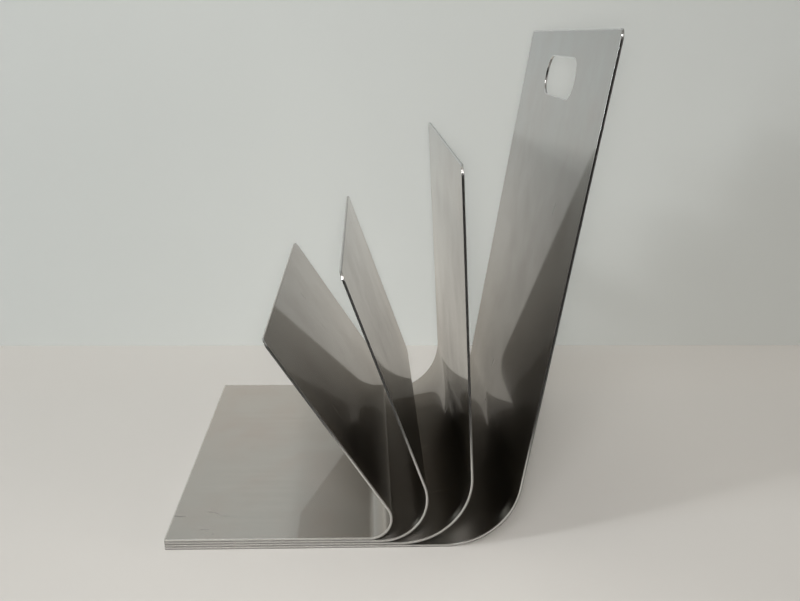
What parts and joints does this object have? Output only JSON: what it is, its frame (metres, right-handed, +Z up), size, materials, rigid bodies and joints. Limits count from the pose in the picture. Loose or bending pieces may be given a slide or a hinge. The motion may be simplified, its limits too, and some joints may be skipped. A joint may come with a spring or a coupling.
{
  "type": "magazine rack",
  "caption": "Free-standing magazine rack of bent stainless sheets with stacked feet, blades that fan out as pockets, and a grip slot in the tallest blade.",
  "frame": {"origin": "centre of the flat resting face under the lowest foot", "axes": "+X from the free ends of the feet towards the bends, +Y along the width of the sheets, +Z up"},
  "size_m": [0.2602, 0.24, 0.3129],
  "materials": {
    "satin_steel": "fine satin brushed stainless steel with deburred cut edges",
    "bond_film": "dark acrylic bonding film, seen only as a thin line in the seam"
  },
  "bodies": {
    "root": {"inner_leaf": "satin_steel", "second_leaf": "satin_steel", "third_leaf": "satin_steel", "grip_leaf": "satin_steel", "upper_bond_film": "bond_film", "middle_bond_film": "bond_film", "lower_bond_film": "bond_film"}
  },
  "joints": []
}
